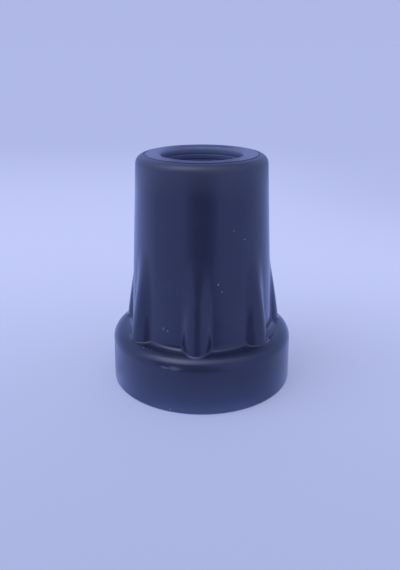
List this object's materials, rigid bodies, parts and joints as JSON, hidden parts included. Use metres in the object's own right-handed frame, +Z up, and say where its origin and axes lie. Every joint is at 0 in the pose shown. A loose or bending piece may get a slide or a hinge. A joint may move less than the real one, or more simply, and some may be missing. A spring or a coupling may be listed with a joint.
{
  "type": "rubber cane tip",
  "caption": "Push-on rubber tip for the foot of a walking cane: tapered socket with leaning round ribs on a wide rounded foot and a ringed sole.",
  "frame": {"origin": "middle of the sole, on the ground that the tip stands on", "axes": "+Z up along the bore, towards the mouth; -Y towards the front rib"},
  "size_m": [0.045, 0.045, 0.0562],
  "materials": {
    "black_rubber": "moulded black rubber, smooth and half glossy"
  },
  "bodies": {
    "root": {"cane_tip": "black_rubber"}
  },
  "joints": []
}
